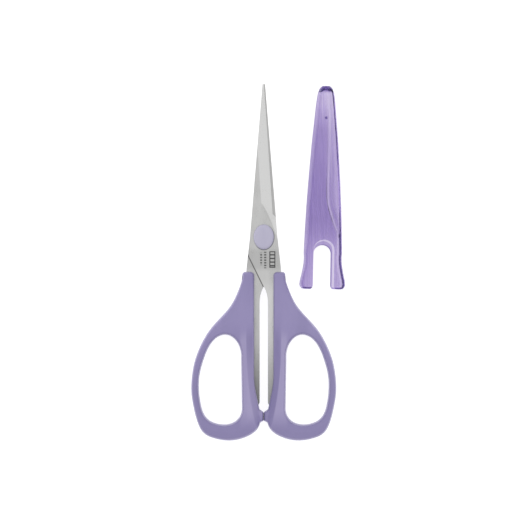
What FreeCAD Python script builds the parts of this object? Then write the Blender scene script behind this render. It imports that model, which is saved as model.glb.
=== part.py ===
import FreeCAD, Part
import Sketcher
import math
import os

V = FreeCAD.Vector

# Craft scissors lying flat on a table, with the blade cover beside them.
# Row frame: +X to the right, +Y towards the blade tips, +Z up from the table.
# Each half is drawn once in the pivot frame: the pivot axis is the local Z axis, the two
# blades meet at local z = 0, and +Z points out of the half. The back half is the front half
# turned over about the Y axis.

SIZES = [
    # blades
    ("blade_thickness", 1.2, "sheet thickness of each blade"),
    ("blade_gap", 0.3, "space between the two blades"),
    ("blade_reach", 68.5, "pivot axis to tip"),
    ("tip_half_width", 0.6, "closed pair, at the tip"),
    ("pivot_half_width", 6.15, "closed pair, at the pivot axis"),
    ("edge_inset", 1.3, "cutting edge behind the other blade's spine"),
    ("heel_reach", 10.3, "pivot axis to the heel of the cutting edge"),
    ("bevel_width", 4.9, "width of the ground bevel"),
    ("edge_land", 0.25, "blade thickness left at the cutting edge"),
    ("bevel_runout", 4.5, "pivot axis to the end of the bevel"),
    ("shank_half_width", 7.6, "closed pair, just above the handles"),
    ("tang_inner", 1.85, "centre plane to the tang's bare inner edge"),
    ("tang_width", 5.4, "width of each tang inside its handle"),
    ("tang_reach", 75.5, "pivot axis to the end of the tang"),
    ("anchor_hole", 2.6, "diameter of the moulding anchor holes"),
    # handles
    ("handle_thickness", 13.0, "through the finger loops"),
    ("neck_thickness", 8.6, "handle thickness next to the pivot"),
    ("handle_start", 15.6, "pivot axis to the top of the handle"),
    ("neck_inner", 4.3, "centre plane to the plastic's inner side"),
    ("neck_width", 5.3, "plastic width at the top of the handle"),
    ("loop_start", 44.0, "pivot axis to the top of the finger hole"),
    ("finger_hole_length", 40.0, "finger hole, along the scissors"),
    ("finger_hole_inner", 9.8, "centre plane to the finger hole"),
    ("finger_hole_width", 19.3, "finger hole, across the scissors"),
    ("outer_rim", 3.35, "rim outside the finger hole"),
    ("base_rim", 7.2, "rim below the finger hole"),
    ("base_inner", 1.6, "centre plane to the foot of the handle"),
    ("stop_gap", 0.4, "space between the two stop bumps when closed"),
    ("stop_length", 4.4, "length of each stop bump"),
    ("stop_thickness", 8.0, "height of each stop bump"),
    # pivot
    ("pin_diameter", 4.0, "screw shoulder"),
    ("thread_diameter", 3.0, "thin end of the screw"),
    ("running_clearance", 0.05, "radial, screw shoulder in the back blade"),
    ("axial_clearance", 0.1, "between the back blade and each washer"),
    ("head_diameter", 7.0, "screw head and nut"),
    ("head_height", 1.0, "screw head"),
    ("spring_washer_thickness", 0.25, "washer under the nut"),
    ("washer_diameter", 9.0, "washer between the blades"),
    ("cap_width", 9.1, "oval cap, across"),
    ("cap_length", 11.2, "oval cap, along"),
    ("cap_height", 1.85, "oval cap"),
    ("cap_clearance", 0.15, "rear cap to the back blade"),
    ("cap_edge", 1.2, "rounding of the cap's rim"),
    # blade cover
    ("cover_wall", 0.6, "wall of the cover"),
    ("cover_rise", 0.45, "height of the ridge over the cover's sides"),
    ("cover_clearance", 0.2, "cover's hollow to each face of the blades"),
    ("cover_side_clearance", 0.45, "cover's hollow to each side of the blades"),
    ("cover_nose", 8.8, "closed end of the cover past the blade tips"),
    ("cover_seat", 9.4, "how far the lying cover is drawn back from its place on the blades"),
    ("cover_mouth_clearance", 1.7, "notch to the oval cap, at the top of its arch"),
    ("cover_shift", 26.6, "pivot axis to the lying cover's centre line, across"),
    ("cover_flare", 1.3, "how far each leg's foot stands out"),
    ("notch_width", 9.4, "mouth notch, across"),
    ("leg_reach", 14.0, "pivot axis to the feet of the seated cover"),
]
COVER_TILT = -1.1  # degrees, how the cover lies beside the blades

os.makedirs("parts", exist_ok=True)
doc = FreeCAD.newDocument("craft_scissors")
sheet = doc.addObject("Spreadsheet::Sheet", "Sizes")


class Size:
    """A length known both as a number and as a spreadsheet expression."""

    def __init__(self, value, text):
        self.value = value
        self.text = text

    @staticmethod
    def of(other):
        return other if isinstance(other, Size) else Size(float(other), "%.6g" % other)

    def _join(self, other, sign, value):
        return Size(value, "(%s %s %s)" % (self.text, sign, Size.of(other).text))

    def __add__(self, other):
        return self._join(other, "+", self.value + Size.of(other).value)

    def __sub__(self, other):
        return self._join(other, "-", self.value - Size.of(other).value)

    def __mul__(self, factor):
        return self._join(factor, "*", self.value * Size.of(factor).value)

    def __truediv__(self, divisor):
        return self._join(divisor, "/", self.value / Size.of(divisor).value)

    def __neg__(self):
        return Size(-self.value, "(0 - %s)" % self.text)

    __radd__ = __add__
    __rmul__ = __mul__

    def __rsub__(self, other):
        return Size.of(other) - self


S = {}
for row, (name, value, note) in enumerate(SIZES, start=1):
    sheet.set("A%d" % row, name)
    sheet.set("B%d" % row, str(value))
    sheet.set("C%d" % row, note)
    sheet.setAlias("B%d" % row, name)
    S[name] = Size(value, "Sizes." + name)
doc.recompute()
ZERO = Size.of(0.0)


def between(low, high, share):
    """The size a given share of the way from one size to another."""
    return low + (high - low) * share


def bind(target, path, size):
    target.setExpression(path, size.text)


def new_body(label):
    body = doc.addObject("PartDesign::Body", label)
    body.Label = label
    return body


def new_sketch(body, name, plane="XY_Plane", offset=None):
    sketch = body.newObject("Sketcher::SketchObject", name)
    support = [f for f in body.Origin.OriginFeatures if f.Role == plane][0]
    sketch.AttachmentSupport = [(support, "")]
    sketch.MapMode = "FlatFace"
    if offset is not None:
        sketch.AttachmentOffset = FreeCAD.Placement(V(0, 0, offset.value), FreeCAD.Rotation())
        bind(sketch, "AttachmentOffset.Base.z", offset)
    return sketch


def constrain(sketch, kind, refs, size):
    index = sketch.addConstraint(Sketcher.Constraint(kind, *refs, size.value))
    bind(sketch, "Constraints[%d]" % index, size)


def pin_point(sketch, geo, pos, x, y):
    """Tie one point of a sketch to its X and Y from the sketch's origin."""
    for kind, size in (("DistanceX", x), ("DistanceY", y)):
        if abs(size.value) < 1e-9:
            axis = -2 if kind == "DistanceX" else -1
            sketch.addConstraint(Sketcher.Constraint("PointOnObject", geo, pos, axis))
        else:
            constrain(sketch, kind, (-1, 1, geo, pos), size)


class Loop:
    """One closed loop of lines, arcs and curves, every corner tied to the sizes."""

    def __init__(self, sketch, x, y):
        self.sketch = sketch
        self.start = (Size.of(x), Size.of(y))
        self.here = self.start
        self.ends = []

    @staticmethod
    def _vector(point):
        return V(point[0].value, point[1].value, 0)

    def _add(self, geometry, point, flipped=False):
        geo = self.sketch.addGeometry(geometry, False)
        first, last = (2, 1) if flipped else (1, 2)
        self.ends.append((geo, first, last, self.here))
        self.here = point
        return geo

    def line(self, x, y):
        point = (Size.of(x), Size.of(y))
        self._add(Part.LineSegment(self._vector(self.here), self._vector(point)), point)
        return self

    def arc(self, x, y, radius, left=False):
        """The shorter arc to a point, with its centre to the left or right of the way there."""
        point, radius = (Size.of(x), Size.of(y)), Size.of(radius)
        a, b = self._vector(self.here), self._vector(point)
        half = (b - a) * 0.5
        rise = math.sqrt(max(radius.value ** 2 - half.Length ** 2, 0.0))
        side = V(-half.y, half.x, 0).normalize() * (rise if left else -rise)
        centre = a + half + side
        one = math.atan2(a.y - centre.y, a.x - centre.x)
        two = math.atan2(b.y - centre.y, b.x - centre.x)
        if not left:
            one, two = two, one
        circle = Part.Circle(centre, V(0, 0, 1), radius.value)
        geo = self._add(Part.ArcOfCircle(circle, one, two), point, flipped=not left)
        constrain(self.sketch, "Radius", (geo,), radius)
        return self

    def curve(self, poles, x, y):
        """A smooth curve to a point, pulled towards the poles on the way."""
        point = (Size.of(x), Size.of(y))
        inner = [(Size.of(px), Size.of(py)) for px, py in poles]
        spline = Part.BSplineCurve()
        spline.buildFromPoles([self._vector(p) for p in [self.here, *inner, point]], False, 3)
        geo = self._add(spline, point)
        first = self.sketch.GeometryCount
        self.sketch.exposeInternalGeometry(geo)
        for index, (px, py) in enumerate(inner, start=1):
            pin_point(self.sketch, first + index, 3, px, py)
        return self

    def close(self):
        if (self._vector(self.here) - self._vector(self.start)).Length > 1e-9:
            self.line(*self.start)
        for this, following in zip(self.ends, self.ends[1:] + self.ends[:1]):
            self.sketch.addConstraint(
                Sketcher.Constraint("Coincident", this[0], this[2], following[0], following[1]))
        for geo, first, _, (x, y) in self.ends:
            pin_point(self.sketch, geo, first, x, y)


def add_circle(sketch, x, y, diameter):
    x, y = Size.of(x), Size.of(y)
    geo = sketch.addGeometry(Part.Circle(V(x.value, y.value, 0), V(0, 0, 1), diameter.value / 2), False)
    pin_point(sketch, geo, 3, x, y)
    constrain(sketch, "Diameter", (geo,), diameter)


def add_ellipse(sketch, width, length):
    """An oval about the origin, longer along Y."""
    ellipse = Part.Ellipse(V(0, length.value / 2, 0), V(-width.value / 2, 0, 0), V(0, 0, 0))
    geo = sketch.addGeometry(ellipse, False)
    sketch.exposeInternalGeometry(geo)
    sketch.addConstraint(Sketcher.Constraint("Coincident", geo, 3, -1, 1))
    sketch.addConstraint(Sketcher.Constraint("Vertical", geo + 1))
    constrain(sketch, "Distance", (geo + 1,), length)
    constrain(sketch, "Distance", (geo + 2,), width)


def pad(body, name, sketch, length, both_ways=False):
    feature = body.newObject("PartDesign::Pad", name)
    feature.Profile = sketch
    feature.Midplane = both_ways
    feature.Length = length.value
    bind(feature, "Length", length)
    return feature


def pocket(body, name, sketch, length=None):
    """Cut a sketch down by a length, or right through the piece both ways."""
    feature = body.newObject("PartDesign::Pocket", name)
    feature.Profile = sketch
    if length is None:
        feature.Type = 1
        feature.Midplane = True
    else:
        feature.Length = length.value
        bind(feature, "Length", length)
    return feature


def loft(body, name, sections, cut=False):
    feature = body.newObject("PartDesign::SubtractiveLoft" if cut else "PartDesign::AdditiveLoft", name)
    feature.Profile = sections[0]
    feature.Sections = sections[1:]
    feature.Ruled = True
    return feature


def round_edges(body, name, base, radius, wanted):
    """Round the edges of a feature whose middle point passes a test."""
    doc.recompute()
    edges = []
    for index, edge in enumerate(base.Shape.Edges, start=1):
        middle = edge.valueAt((edge.FirstParameter + edge.LastParameter) / 2)
        ends = [edge.valueAt(edge.FirstParameter), edge.valueAt(edge.LastParameter)]
        if wanted(middle, ends):
            edges.append("Edge%d" % index)
    feature = body.newObject("PartDesign::Fillet", name)
    feature.Base = (base, edges)
    feature.Radius = radius.value
    bind(feature, "Radius", radius)
    return feature


# Heights in the pivot frame
half_gap = S["blade_gap"] / 2
outer_face = half_gap + S["blade_thickness"]

# Plan positions
hole_outer = S["finger_hole_inner"] + S["finger_hole_width"]
loop_outer = hole_outer + S["outer_rim"]
hole_end = S["loop_start"] + S["finger_hole_length"]
handle_end = hole_end + S["base_rim"]
neck_outer = S["neck_inner"] + S["neck_width"]
tang_outer = S["tang_inner"] + S["tang_width"]


def tang_loop(sketch, plug_only):
    """The blade's plan outline, or only its tang from inside the handle down.

    Both are drawn with the same corners, so the handle's slot is the tang's own shape.
    """
    neck_y = -S["handle_start"]
    if plug_only:
        # The slot starts above the handle, where the shank crosses the centre plane.
        loop = Loop(sketch, -S["tang_inner"], neck_y + 1.2)
        loop.line(S["shank_half_width"] + 3.0, neck_y + 1.2)
        loop.line(S["shank_half_width"] + 3.0, neck_y)
        loop.line(tang_outer + 0.5, neck_y)
    else:
        pivot_w, tip_w = S["pivot_half_width"], S["tip_half_width"]
        slope = (pivot_w - tip_w) / S["blade_reach"]
        heel_x = pivot_w - slope * S["heel_reach"] - S["edge_inset"]
        loop = Loop(sketch, -tip_w, S["blade_reach"])
        loop.line(tip_w * 0.2, S["blade_reach"])
        loop.line(heel_x, S["heel_reach"])
        loop.line(pivot_w - slope * (S["heel_reach"] - 1.4), S["heel_reach"] - 1.4)
        loop.line(pivot_w, 0.0)
        loop.line(S["shank_half_width"], neck_y + 2.6)
        loop.line(S["shank_half_width"] + 0.2, neck_y)
        loop.line(tang_outer + 0.5, neck_y)
    loop.line(tang_outer, neck_y - 6.0)
    loop.line(tang_outer, -S["tang_reach"] + 1.5)
    loop.arc(tang_outer - 1.5, -S["tang_reach"], 1.5)
    loop.line(S["tang_inner"] + 1.5, -S["tang_reach"])
    loop.arc(S["tang_inner"], -S["tang_reach"] + 1.5, 1.5)
    loop.line(S["tang_inner"], -S["handle_start"] - 14.0)
    loop.curve([(S["tang_inner"], neck_y - 10.5), (0.9, neck_y - 8.5)], 0.3, neck_y - 7.2)
    if not plug_only:
        loop.line(-pivot_w, neck_y + 6.0)
        loop.arc(-pivot_w - 0.45, neck_y + 8.0, 2.6)
        loop.line(-pivot_w, 0.0)
    loop.close()


def anchor_circles(sketch):
    x = S["tang_inner"] + S["tang_width"] * 0.7
    for share in (0.22, 0.5, 0.78):
        y = -between(S["handle_start"], S["tang_reach"], share)
        add_circle(sketch, x, y, S["anchor_hole"])


def build_blade(label, bore):
    body = new_body(label)
    plan = new_sketch(body, label + "_plan", offset=half_gap)
    tang_loop(plan, plug_only=False)
    plate = pad(body, label + "_plate", plan, S["blade_thickness"])
    # The bevel is a wedge ground off the outer face, fading out above the pivot.
    pivot_w, tip_w = S["pivot_half_width"], S["tip_half_width"]
    slope = (pivot_w - tip_w) / S["blade_reach"]
    heel_x = pivot_w - slope * S["heel_reach"] - S["edge_inset"]
    edge_slope = (heel_x - tip_w * 0.2) / (S["blade_reach"] - S["heel_reach"])
    above = outer_face + 0.5
    sections = []
    stations = [
        (S["blade_reach"] + 1.0, 1.0, 0.0),
        (S["heel_reach"] + 4.5, 1.0, 0.0),
        (S["heel_reach"] + 1.5, 0.78, 0.0),
        (between(S["bevel_runout"], S["heel_reach"], 0.5), 0.35, 0.45),
        (S["bevel_runout"], 0.0, 0.96),
    ]
    for number, (y, width_share, lift_share) in enumerate(stations):
        section = new_sketch(body, "%s_bevel_%d" % (label, number), "XZ_Plane", -y)
        edge_x = heel_x - edge_slope * (y - S["heel_reach"])
        start_x = edge_x - S["bevel_width"] * width_share
        low = between(half_gap + S["edge_land"], outer_face, lift_share)
        over = edge_x + 3.0
        drop = (low - outer_face) * 3.0 / (S["bevel_width"] * max(width_share, 0.3))
        loop = Loop(section, start_x, outer_face)
        loop.line(edge_x, low)
        loop.line(over, low + drop)
        loop.line(over, above)
        loop.line(start_x, above)
        loop.close()
        sections.append(section)
    loft(body, label + "_bevel", sections, cut=True)
    holes = new_sketch(body, label + "_holes")
    add_circle(holes, 0.0, 0.0, bore)
    anchor_circles(holes)
    pocket(body, label + "_bores", holes)
    return body


def build_handle(label):
    body = new_body(label)
    plan = new_sketch(body, label + "_plan")
    corner = S["neck_width"] * 0.45
    inner, outer, top = S["neck_inner"], neck_outer, -S["handle_start"]
    inner_end = -(hole_end - 23.0)
    foot = -(hole_end - 2.5)
    loop = Loop(plan, inner, inner_end)
    loop.line(inner, top - corner)
    loop.arc(inner + corner, top, corner)
    loop.line(outer - corner, top)
    loop.arc(outer, top - corner, corner)

    def flank(across, down):
        return between(outer, loop_outer, across), -between(S["handle_start"], handle_end, down)

    loop.curve([(outer, top - corner - 1.75), flank(0.204, 0.221), flank(0.590, 0.306),
                flank(0.887, 0.464), flank(1.029, 0.633), flank(0.972, 0.798), flank(0.828, 0.976),
                flank(0.236, 1.016), (S["base_inner"] - 1.95, -(hole_end + 3.3)),
                (between(S["base_inner"], inner, 0.4), -(hole_end - 11.0)), (inner, inner_end - 5.2)],
               inner, inner_end)
    loop.close()
    slab = pad(body, label + "_slab", plan, S["handle_thickness"], both_ways=True)

    # The handle thins towards the pivot on both faces.
    side = new_sketch(body, label + "_side", "YZ_Plane")
    thin, thick = S["neck_thickness"] / 2, S["handle_thickness"] / 2
    near, far = top - 4.0, -S["loop_start"] - 4.0
    for sign in (1, -1):
        wedge = Loop(side, top + 3.0, thin * sign)
        wedge.line(near, thin * sign)
        wedge.curve([(between(near, far, 0.36), thin * sign), (between(near, far, 0.64), thick * sign)],
                    far, thick * sign)
        wedge.line(far, (thick + 2.0) * sign)
        wedge.line(top + 3.0, (thick + 2.0) * sign)
        wedge.close()
    thinned = pocket(body, label + "_thinning", side)

    def is_rim(middle, ends):
        across_face = abs(ends[0].y - ends[1].y) < 1e-4 and middle.y < top.value - 1.0
        return abs(middle.z) > thin.value - 0.01 and not across_face

    rounded = round_edges(body, label + "_rounding", thinned, S["outer_rim"] * 0.54, is_rim)

    hole = new_sketch(body, label + "_hole")
    hx0, hx1, hy0 = S["finger_hole_inner"], hole_outer, S["loop_start"]

    def bow(across, down):
        return between(hx0, hx1, across), -between(hy0, hole_end, down)

    loop = Loop(hole, *bow(0.0, 0.815))
    loop.curve([bow(0.0, 0.905), bow(0.215, 1.029), bow(0.84, 0.978), bow(0.975, 0.768),
                bow(1.02, 0.50), bow(0.915, 0.299), bow(0.715, 0.04), bow(0.27, -0.056),
                bow(0.0, 0.13)], *bow(0.018, 0.26))
    loop.close()
    opened = pocket(body, label + "_opening", hole)

    def is_bow(middle, ends):
        inside = hx0.value - 0.3 < middle.x < hx1.value + 0.3
        along = -hole_end.value - 0.3 < middle.y < -hy0.value + 0.3
        return inside and along and abs(middle.z) > thick.value - 0.3

    softened = round_edges(body, label + "_softening", opened, S["outer_rim"] * 0.36, is_bow)

    # Stop bump that meets the other handle's bump when the scissors are shut.
    bump = new_sketch(body, label + "_bump")
    middle_y = foot + 1.6
    reach = S["stop_length"] / 2
    loop = Loop(bump, S["base_inner"] + 2.0, middle_y - reach)
    loop.line(S["stop_gap"] / 2 + 0.6, middle_y - reach)
    loop.arc(S["stop_gap"] / 2, middle_y - reach + 0.6, 0.6)
    loop.line(S["stop_gap"] / 2, middle_y + reach - 0.6)
    loop.arc(S["stop_gap"] / 2 + 0.6, middle_y + reach, 0.6)
    loop.line(S["base_inner"] + 2.0, middle_y + reach)
    loop.close()
    pad(body, label + "_stop", bump, S["stop_thickness"], both_ways=True)

    # Slot moulded round the tang, with plugs left standing in the tang's anchor holes.
    slot = new_sketch(body, label + "_slot", offset=outer_face)
    tang_loop(slot, plug_only=True)
    anchor_circles(slot)
    pocket(body, label + "_tang_slot", slot, S["blade_thickness"])
    return body


def build_ring(label, outer, inner, low, height):
    body = new_body(label)
    plan = new_sketch(body, label + "_plan", offset=low)
    add_circle(plan, 0.0, 0.0, outer)
    add_circle(plan, 0.0, 0.0, inner)
    pad(body, label + "_ring", plan, height)
    return body


def build_cap(label, low):
    """An oval cap, rounded over, with a round recess for the screw head or the nut."""
    body = new_body(label)
    plan = new_sketch(body, label + "_plan", offset=low)
    add_ellipse(plan, S["cap_width"], S["cap_length"])
    block = pad(body, label + "_block", plan, S["cap_height"])
    top = low + S["cap_height"]
    rounded = round_edges(body, label + "_rounding", block, S["cap_edge"],
                          lambda middle, ends: abs(middle.z - top.value) < 1e-3)
    seat = new_sketch(body, label + "_recess", offset=low + S["head_height"])
    add_circle(seat, 0.0, 0.0, S["head_diameter"])
    pocket(body, label + "_socket", seat, S["head_height"])
    return body


def build_screw(label):
    body = new_body(label)
    profile = new_sketch(body, label + "_profile", "XZ_Plane")
    shoulder, thin, head = S["pin_diameter"] / 2, S["thread_diameter"] / 2, S["head_diameter"] / 2
    loop = Loop(profile, 0.0, outer_face + S["head_height"])
    loop.line(head, outer_face + S["head_height"])
    loop.line(head, outer_face)
    loop.line(shoulder, outer_face)
    loop.line(shoulder, -nut_top)
    loop.line(thin, -nut_top)
    loop.line(thin, -nut_end)
    loop.line(0.0, -nut_end)
    loop.close()
    turned = body.newObject("PartDesign::Revolution", label + "_turned")
    turned.Profile = profile
    turned.ReferenceAxis = (profile, ["V_Axis"])
    turned.Angle = 360
    return body


def build_sheath(label):
    """Blade cover: flat back, low ridge that opens into a bell at the mouth, notch for the caps.

    It is drawn lying on its back with its closed end at local y = 0 and its mouth at -length.
    """
    body = new_body(label)
    length = S["cover_nose"] + S["blade_reach"] + S["leg_reach"]
    tip = S["cover_nose"]
    pivot = tip + S["blade_reach"]
    shoulder = pivot + S["handle_start"] - 2.6
    side = S["cover_side_clearance"]
    stack = S["blade_gap"] + S["blade_thickness"] * 2 + S["cover_clearance"] * 2
    wall, rise = S["cover_wall"], S["cover_rise"]

    def pair_width(station):
        slope = (S["pivot_half_width"] - S["tip_half_width"]) / S["blade_reach"]
        return S["tip_half_width"] + slope * (station - tip)

    def section(number, kind, station, half, height, flat, lift, floor):
        part = new_sketch(body, "%s_%s_%d" % (label, kind, number), "XZ_Plane", station)
        loop = Loop(part, -half, floor)
        loop.line(half, floor)
        loop.line(half, height)
        loop.line(flat, height + lift)
        loop.line(-flat, height + lift)
        loop.line(-half, height)
        loop.close()
        return part

    edge = wall * 2 + stack
    bell = pivot - 6.0
    outside = [
        (ZERO, Size.of(2.3), edge * 0.62, Size.of(0.3), rise * 0.3),
        (Size.of(1.3), Size.of(3.4), edge * 0.86, Size.of(0.3), rise * 0.6),
        (Size.of(6.0), Size.of(4.4), edge, Size.of(0.3), rise),
        (bell - 16.5, pair_width(bell - 16.5) + side + wall + 2.1, edge, Size.of(0.3), rise),
        (bell - 3.0, pair_width(bell - 3.0) + side + wall + 1.4, edge, S["notch_width"] / 2 + 2.0, rise),
        (pivot + 3.5, S["shank_half_width"] + side + wall + 0.2, edge, S["notch_width"] / 2 + 2.6, rise),
        (length, S["shank_half_width"] + side + wall + 0.5 + S["cover_flare"], edge,
         S["notch_width"] / 2 + 3.0, rise),
    ]
    loft(body, label + "_outside",
         [section(i, "outer", *row, -wall) for i, row in enumerate(outside)])
    back = new_sketch(body, label + "_back")
    loop = Loop(back, -S["notch_width"] * 2, 2.0)
    loop.line(S["notch_width"] * 2, 2.0)
    loop.line(S["notch_width"] * 2, -length - 2.0)
    loop.line(-S["notch_width"] * 2, -length - 2.0)
    loop.close()
    pocket(body, label + "_flat_back", back, wall * 2)
    low, high = wall, wall + stack
    hollow = [
        (tip * 0.62, Size.of(1.3), high, Size.of(0.25), rise * 0.6),
        (tip + 4.0, pair_width(tip + 4.0) + side + 1.2, high, Size.of(0.25), rise),
        (bell - 16.5, pair_width(bell - 16.5) + side + 0.7, high, Size.of(0.25), rise),
        (bell - 3.0, pair_width(bell - 3.0) + side + 0.5, high, S["notch_width"] / 2 + 1.6, rise),
        (pivot + 3.5, S["shank_half_width"] + side - 0.5, high, S["notch_width"] / 2 + 2.0, rise),
        (length + 1.0, S["shank_half_width"] + side + S["cover_flare"], high,
         S["notch_width"] / 2 + 2.4, rise),
    ]
    loft(body, label + "_hollow", [section(i, "inner", *row, low) for i, row in enumerate(hollow)], cut=True)

    # Notch through both walls, with a round arch that passes the oval cap.
    notch = new_sketch(body, label + "_notch")
    half = S["notch_width"] / 2
    arch_top = -(pivot - S["cap_length"] / 2 - S["cover_mouth_clearance"] + 1.5)
    loop = Loop(notch, -half, -length - 3.0)
    loop.line(-half, arch_top - half)
    loop.arc(0.0, arch_top, half)
    loop.arc(half, arch_top - half, half)
    loop.line(half, -length - 3.0)
    loop.close()
    pocket(body, label + "_mouth", notch)
    return body, length


def place(body, x, y, z, turned_over=False):
    turn = FreeCAD.Rotation(V(0, 1, 0), 180 if turned_over else 0)
    body.Placement = FreeCAD.Placement(V(x.value, y.value, z.value), turn)
    for axis, size in (("x", x), ("y", y), ("z", z)):
        bind(body, "Placement.Base." + axis, size)


nut_top = outer_face + S["axial_clearance"] + S["spring_washer_thickness"]
nut_end = outer_face + S["cap_clearance"] + S["head_height"]

bore_tight = S["pin_diameter"]
bore_running = S["pin_diameter"] + S["running_clearance"] * 2

front_blade = build_blade("front_blade", bore_tight)
back_blade = build_blade("back_blade", bore_running)
front_handle = build_handle("front_handle")
back_handle = build_handle("back_handle")
pivot_screw = build_screw("pivot_screw")
pivot_nut = build_ring("pivot_nut", S["head_diameter"], S["thread_diameter"], nut_top, nut_end - nut_top)
spring_washer = build_ring("spring_washer", S["head_diameter"] - 0.4, S["pin_diameter"],
                           outer_face + S["axial_clearance"], S["spring_washer_thickness"])
blade_washer = build_ring("blade_washer", S["washer_diameter"], S["pin_diameter"],
                          -half_gap + S["axial_clearance"], S["blade_gap"] - S["axial_clearance"])
front_cap = build_cap("front_cap", outer_face)
rear_cap = build_cap("rear_cap", outer_face + S["cap_clearance"])
sheath, cover_length = build_sheath("sheath")

# The row's origin is the middle of the whole part's box, on the table, so the pivot axis
# stands to one side of it.
cover_half = S["shank_half_width"] + S["cover_side_clearance"] + S["cover_wall"] + 0.5 + S["cover_flare"]
lean = math.tan(math.radians(-COVER_TILT))
cover_right = S["cover_shift"] + cover_half - cover_length * (lean * 0.5)
pivot_x = (loop_outer - cover_right) / 2
pivot_y = (handle_end - S["blade_reach"]) / 2
middle_z = S["handle_thickness"] / 2
for body in (front_blade, front_handle, pivot_screw, blade_washer, front_cap):
    place(body, pivot_x, pivot_y, middle_z)
for body in (back_blade, back_handle, pivot_nut, spring_washer, rear_cap):
    place(body, pivot_x, pivot_y, middle_z, turned_over=True)
cover_top = pivot_y + S["blade_reach"] + S["cover_nose"] - S["cover_seat"]
place(sheath, pivot_x + S["cover_shift"] + cover_length * (lean * 0.5), cover_top, ZERO)
turn = FreeCAD.Rotation(V(0, 0, 1), COVER_TILT)
sheath.Placement = FreeCAD.Placement(sheath.Placement.Base, turn)

doc.recompute()

PIECES = [front_blade, back_blade, front_handle, back_handle, pivot_screw, pivot_nut,
          spring_washer, blade_washer, front_cap, rear_cap, sheath]
for item in doc.Objects:
    if "Invalid" in item.State or "Error" in item.State:
        raise RuntimeError("%s did not build: %s" % (item.Label, item.State))
for body in PIECES:
    if body.Shape.isNull() or not body.Shape.isValid() or len(body.Shape.Solids) != 1:
        raise RuntimeError("%s is not one valid solid" % body.Label)
for body in PIECES:
    body.Shape.exportStep("parts/%s.step" % body.Label)
    box = body.Shape.BoundBox
    print("%-14s %9.1f mm3  x %.2f..%.2f  y %.2f..%.2f  z %.2f..%.2f" % (
        body.Label, body.Shape.Volume, box.XMin, box.XMax, box.YMin, box.YMax, box.ZMin, box.ZMax))
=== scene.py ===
"""Looks of a pair of craft scissors and their clear blade cover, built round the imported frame."""
import logging
import math
from dataclasses import dataclass
from enum import Enum
from typing import Callable, Sequence, Union

import bmesh
import bpy
import numpy as np
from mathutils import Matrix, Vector


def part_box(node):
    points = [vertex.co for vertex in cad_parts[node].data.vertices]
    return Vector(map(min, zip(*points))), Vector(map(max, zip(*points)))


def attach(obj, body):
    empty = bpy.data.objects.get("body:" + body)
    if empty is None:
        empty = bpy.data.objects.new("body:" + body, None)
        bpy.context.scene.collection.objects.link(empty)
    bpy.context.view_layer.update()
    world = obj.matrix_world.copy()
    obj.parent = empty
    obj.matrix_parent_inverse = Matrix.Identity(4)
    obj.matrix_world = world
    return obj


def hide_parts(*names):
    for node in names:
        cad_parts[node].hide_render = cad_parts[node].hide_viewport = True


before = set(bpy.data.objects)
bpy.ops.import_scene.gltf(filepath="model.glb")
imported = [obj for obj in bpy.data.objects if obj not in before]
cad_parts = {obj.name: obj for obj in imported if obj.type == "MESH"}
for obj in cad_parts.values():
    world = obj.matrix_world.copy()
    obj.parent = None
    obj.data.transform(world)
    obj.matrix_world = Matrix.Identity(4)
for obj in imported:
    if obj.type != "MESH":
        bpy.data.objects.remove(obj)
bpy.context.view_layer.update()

LOG = logging.getLogger("craft_scissors")
MM = 0.001
COVER_ACROSS = 28.05
COVER_LEAN = math.radians(1.13)

Array = np.ndarray
Material, Object = bpy.types.Material, bpy.types.Object
Colour = tuple[float, float, float, float]
Place = tuple[float, float, float]
Point = tuple[float, float]
Table = Sequence[Point]
WHITE = (1.0, 1.0, 1.0, 1.0)


class Body(Enum):
    """The rigid bodies a piece can ride on."""

    FRONT = "front_half"
    BACK = "back_half"
    COVER = "cover"


class Finish(Enum):
    """Material slots of the record that the finer pieces fill."""

    HANDLE = "handle_plastic"
    CAP = "cap_plastic"
    COVER = "cover_plastic"


# ---- shader arithmetic


Value = Union["Wire", float]


def grey(level: float, blue: float = 0.0) -> Colour:
    """A grey, with its blue moved by a little."""
    return (level, level, level + blue, 1.0)


def arithmetic(operation: str, swapped: bool = False) -> Callable[..., "Wire"]:
    """Make a method of Wire that adds one Math node.

    Args:
        operation: The node's operation.
        swapped: Whether the wire is the right-hand value.

    Returns:
        The method, which takes the other value, if there is one.
    """

    def method(wire: "Wire", *others: Value) -> "Wire":
        """Add the node to the wire's graph."""
        values = (*others, wire) if swapped else (wire, *others)
        return wire.graph.add("ShaderNodeMath", {"operation": operation}, dict(enumerate(values)))

    return method


@dataclass(frozen=True, eq=False)
class Wire:
    """An output of a shader node that can be used in ordinary arithmetic."""

    graph: "Graph"
    source: bpy.types.NodeSocket | None
    __add__, __radd__ = arithmetic("ADD"), arithmetic("ADD", swapped=True)
    __sub__, __rsub__ = arithmetic("SUBTRACT"), arithmetic("SUBTRACT", swapped=True)
    __mul__, __rmul__ = arithmetic("MULTIPLY"), arithmetic("MULTIPLY", swapped=True)
    __truediv__, __pow__ = arithmetic("DIVIDE"), arithmetic("POWER")
    __abs__, least, most = arithmetic("ABSOLUTE"), arithmetic("MINIMUM"), arithmetic("MAXIMUM")
    wave, root = arithmetic("SINE"), arithmetic("SQRT")

    def rise(self, low: float, high: float) -> "Wire":
        """A smooth step.

        Args:
            low: Where it leaves 0.
            high: Where it reaches 1. It may be below low, and then the step falls.

        Returns:
            A value from 0 to 1.
        """
        falls = high < low
        first, last = (high, low) if falls else (low, high)
        step = self.graph.add(
            "ShaderNodeMapRange", {"interpolation_type": "SMOOTHSTEP"},
            {"Value": self, "From Min": first, "From Max": last})
        return 1.0 - step if falls else step

    def band(self, low: float, high: float, soft: float) -> "Wire":
        """A smooth window, 1 between low and high, each side fading over twice soft."""
        return self.rise(low - soft, low + soft) * self.rise(high + soft, high - soft)


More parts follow.
